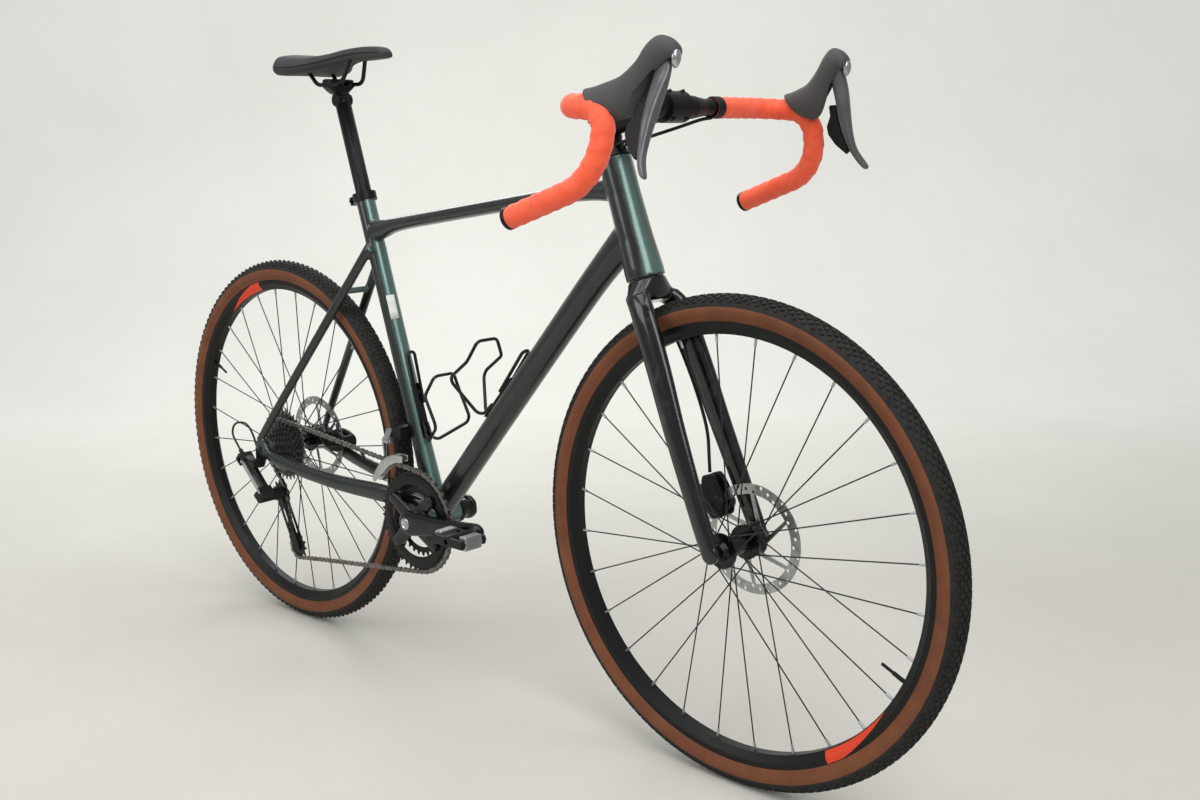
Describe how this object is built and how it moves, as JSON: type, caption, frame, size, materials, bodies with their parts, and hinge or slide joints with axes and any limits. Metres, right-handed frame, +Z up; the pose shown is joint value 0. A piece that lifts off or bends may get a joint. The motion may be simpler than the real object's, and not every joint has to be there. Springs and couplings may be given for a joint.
{
  "type": "gravel bicycle",
  "caption": "Drop-bar gravel bicycle with disc brakes, grey-green frame, black fork, tan-wall knobbly tyres and orange bar tape",
  "frame": {"origin": "ground level midway between the two axles, on the centre plane", "axes": "X ahead, Y to the rider's left, Z up"},
  "size_m": [1.7659, 0.5292, 1.0722],
  "materials": {
    "frame_paint": "gloss",
    "fork_carbon": "gloss",
    "black_alloy": "satin",
    "silver_alloy": "brushed",
    "steel": "brushed",
    "tyre_rubber": "matte",
    "hood_rubber": "matte",
    "bar_wrap": "matte",
    "black_plastic": "matte",
    "saddle_cover": "matte"
  },
  "bodies": {
    "frame": {"head_tube": "frame_paint", "top_tube": "frame_paint", "down_tube": "frame_paint", "seat_tube": "frame_paint", "chainstays": "frame_paint", "seatstays": "frame_paint", "derailleur_hanger": "black_alloy", "seat_clamp": "black_alloy", "bottle_cages": "black_alloy", "bottom_bracket_cups": "black_alloy", "headset_bearings": "steel", "fd_mount": "black_alloy", "rear_caliper": "black_alloy", "rear_axle": "black_alloy", "frame_cables": "black_plastic", "rd_upper_knuckle": "black_alloy", "chain": "steel"},
    "steering": {"fork": "fork_carbon", "headset_cover": "black_alloy", "stem": "black_alloy", "handlebar": "black_alloy", "bar_tape": "bar_wrap", "lever_hoods": "hood_rubber", "front_caliper": "black_alloy", "front_axle": "black_alloy", "steering_hoses": "black_plastic"},
    "right_brake": {"right_brake_lever": "black_alloy"},
    "left_brake": {"left_brake_lever": "black_alloy"},
    "right_shift": {"right_shift_paddle": "black_plastic"},
    "left_shift": {"left_shift_paddle": "black_plastic"},
    "front_inner_pad_body": {"front_inner_pad": "steel"},
    "front_outer_pad_body": {"front_outer_pad": "steel"},
    "rear_inner_pad_body": {"rear_inner_pad": "steel"},
    "rear_outer_pad_body": {"rear_outer_pad": "steel"},
    "front_wheel": {"front_hub": "black_alloy", "front_spokes": "steel", "front_rim": "black_alloy", "front_tyre": "tyre_rubber", "front_rotor": "steel"},
    "rear_wheel": {"rear_hub": "black_alloy", "rear_spokes": "steel", "rear_rim": "black_alloy", "rear_tyre": "tyre_rubber", "rear_rotor": "steel"},
    "sprockets": {"cassette": "steel"},
    "crankset": {"crank_arms": "black_alloy", "chainrings": "black_alloy"},
    "right_pedal_body": {"right_pedal": "black_alloy"},
    "left_pedal_body": {"left_pedal": "black_alloy"},
    "rd_outer": {"rd_outer_link": "silver_alloy"},
    "rd_inner": {"rd_inner_link": "black_alloy"},
    "rd_lower": {"rd_lower_knuckle": "black_alloy"},
    "rd_cage_body": {"rd_cage": "black_alloy"},
    "guide_wheel": {"guide_pulley": "black_plastic"},
    "tension_wheel": {"tension_pulley": "black_plastic"},
    "fd_link_body": {"fd_link": "silver_alloy"},
    "fd_cage_body": {"fd_cage": "silver_alloy"},
    "seat": {"seatpost": "black_alloy", "saddle_rails": "steel", "saddle": "saddle_cover"}
  },
  "joints": [
    {"name": "steer", "type": "hinge", "parent": "frame", "child": "steering", "pos_m": [0.37379, 0, 0.71353], "axis": [-0.3173, 0, 0.9483], "range_deg": [-65, 65]},
    {"name": "front_wheel_spin", "type": "hinge", "parent": "steering", "child": "front_wheel", "pos_m": [0.532, 0, 0.351], "axis": [0, 1, 0], "continuous": true},
    {"name": "rear_wheel_spin", "type": "hinge", "parent": "frame", "child": "rear_wheel", "pos_m": [-0.532, 0, 0.351], "axis": [0, 1, 0], "continuous": true},
    {"name": "crank_spin", "type": "hinge", "parent": "frame", "child": "crankset", "pos_m": [-0.1079, 0, 0.28], "axis": [0, 1, 0], "continuous": true, "deforming": ["chain"]},
    {"name": "cassette_spin", "type": "hinge", "parent": "frame", "child": "sprockets", "pos_m": [-0.532, 0, 0.351], "axis": [0, 1, 0], "continuous": true},
    {"name": "right_pedal_spin", "type": "hinge", "parent": "crankset", "child": "right_pedal_body", "pos_m": [0.06394, 0, 0.29503], "axis": [0, 1, 0], "continuous": true},
    {"name": "left_pedal_spin", "type": "hinge", "parent": "crankset", "child": "left_pedal_body", "pos_m": [-0.27975, 0, 0.26497], "axis": [0, 1, 0], "continuous": true},
    {"name": "right_brake_pull", "type": "hinge", "parent": "steering", "child": "right_brake", "pos_m": [0.56464, -0.185, 0.99102], "axis": [0, 0.9272, -0.3746], "range_deg": [0, 10], "stiffness_Nm_per_rad": 2, "springref_deg": -5.73},
    {"name": "left_brake_pull", "type": "hinge", "parent": "steering", "child": "left_brake", "pos_m": [0.56464, 0.185, 0.99102], "axis": [0, 0.9272, 0.3746], "range_deg": [0, 10], "stiffness_Nm_per_rad": 2, "springref_deg": -5.73},
    {"name": "right_shift_push", "type": "hinge", "parent": "right_brake", "child": "right_shift", "pos_m": [0.55564, -0.20373, 0.94466], "axis": [1, 0, 0], "range_deg": [0, 12], "stiffness_Nm_per_rad": 0.8, "springref_deg": -5.73},
    {"name": "left_shift_push", "type": "hinge", "parent": "left_brake", "child": "left_shift", "pos_m": [0.55564, 0.20373, 0.94466], "axis": [-1, 0, 0], "range_deg": [0, 12], "stiffness_Nm_per_rad": 0.8, "springref_deg": -5.73},
    {"name": "front_inner_pad_slide", "type": "slide", "parent": "steering", "child": "front_inner_pad_body", "axis": [0, 1, 0], "range_m": [0, 0.0005]},
    {"name": "front_outer_pad_slide", "type": "slide", "parent": "steering", "child": "front_outer_pad_body", "axis": [0, -1, 0], "range_m": [0, 0.0005]},
    {"name": "rear_inner_pad_slide", "type": "slide", "parent": "frame", "child": "rear_inner_pad_body", "axis": [0, 1, 0], "range_m": [0, 0.0005]},
    {"name": "rear_outer_pad_slide", "type": "slide", "parent": "frame", "child": "rear_outer_pad_body", "axis": [0, -1, 0], "range_m": [0, 0.0005]},
    {"name": "rd_shift", "type": "hinge", "parent": "frame", "child": "rd_outer", "pos_m": [-0.568, -0.095, 0.325], "axis": [0.6936, 0, 0.7203], "range_deg": [-20.44, 8.61], "deforming": ["chain"]},
    {"name": "rd_inner_turn", "type": "hinge", "parent": "frame", "child": "rd_inner", "pos_m": [-0.568, -0.081, 0.325], "axis": [0.6936, 0, 0.7203], "range_deg": [-20.44, 8.61]},
    {"name": "rd_lower_turn", "type": "hinge", "parent": "rd_outer", "child": "rd_lower", "pos_m": [-0.514, -0.095, 0.273], "axis": [0.6936, 0, 0.7203], "range_deg": [-8.61, 20.44]},
    {"name": "rd_cage_swing", "type": "hinge", "parent": "rd_lower", "child": "rd_cage_body", "pos_m": [-0.52646, -0.026, 0.25862], "axis": [0, -1, 0], "range_deg": [-10, 28], "stiffness_Nm_per_rad": 1.5, "deforming": ["chain"]},
    {"name": "guide_spin", "type": "hinge", "parent": "rd_cage_body", "child": "guide_wheel", "pos_m": [-0.53978, -0.03532, 0.25384], "axis": [0, 1, 0], "continuous": true},
    {"name": "tension_spin", "type": "hinge", "parent": "rd_cage_body", "child": "tension_wheel", "pos_m": [-0.48921, -0.03532, 0.15652], "axis": [0, 1, 0], "continuous": true},
    {"name": "fd_shift", "type": "hinge", "parent": "frame", "child": "fd_link_body", "pos_m": [-0.1919, -0.034, 0.424], "axis": [1, 0, 0], "range_deg": [0, 29.36], "stiffness_Nm_per_rad": 1, "springref_deg": -5.73, "deforming": ["chain"]},
    {"name": "fd_cage_turn", "type": "hinge", "parent": "fd_link_body", "child": "fd_cage_body", "pos_m": [-0.1919, -0.043, 0.408], "axis": [1, 0, 0], "range_deg": [-29.36, 0], "deforming": ["chain"]},
    {"name": "seat_height", "type": "slide", "parent": "frame", "child": "seat", "axis": [-0.284, 0, 0.9588], "range_m": [-0.1, 0.06]}
  ],
  "couplings": [
    {"joint": "cassette_spin", "follows": "crank_spin", "ratio": 1.76},
    {"joint": "guide_spin", "follows": "crank_spin", "ratio": -4},
    {"joint": "tension_spin", "follows": "crank_spin", "ratio": 4},
    {"joint": "front_inner_pad_slide", "follows": "left_brake_pull", "m_per_rad": 0.002865},
    {"joint": "front_outer_pad_slide", "follows": "left_brake_pull", "m_per_rad": 0.002865},
    {"joint": "rear_inner_pad_slide", "follows": "right_brake_pull", "m_per_rad": 0.002865},
    {"joint": "rear_outer_pad_slide", "follows": "right_brake_pull", "m_per_rad": 0.002865},
    {"joint": "rd_inner_turn", "follows": "rd_shift", "ratio": 1},
    {"joint": "rd_lower_turn", "follows": "rd_shift", "ratio": -1},
    {"joint": "fd_cage_turn", "follows": "fd_shift", "ratio": -1}
  ]
}
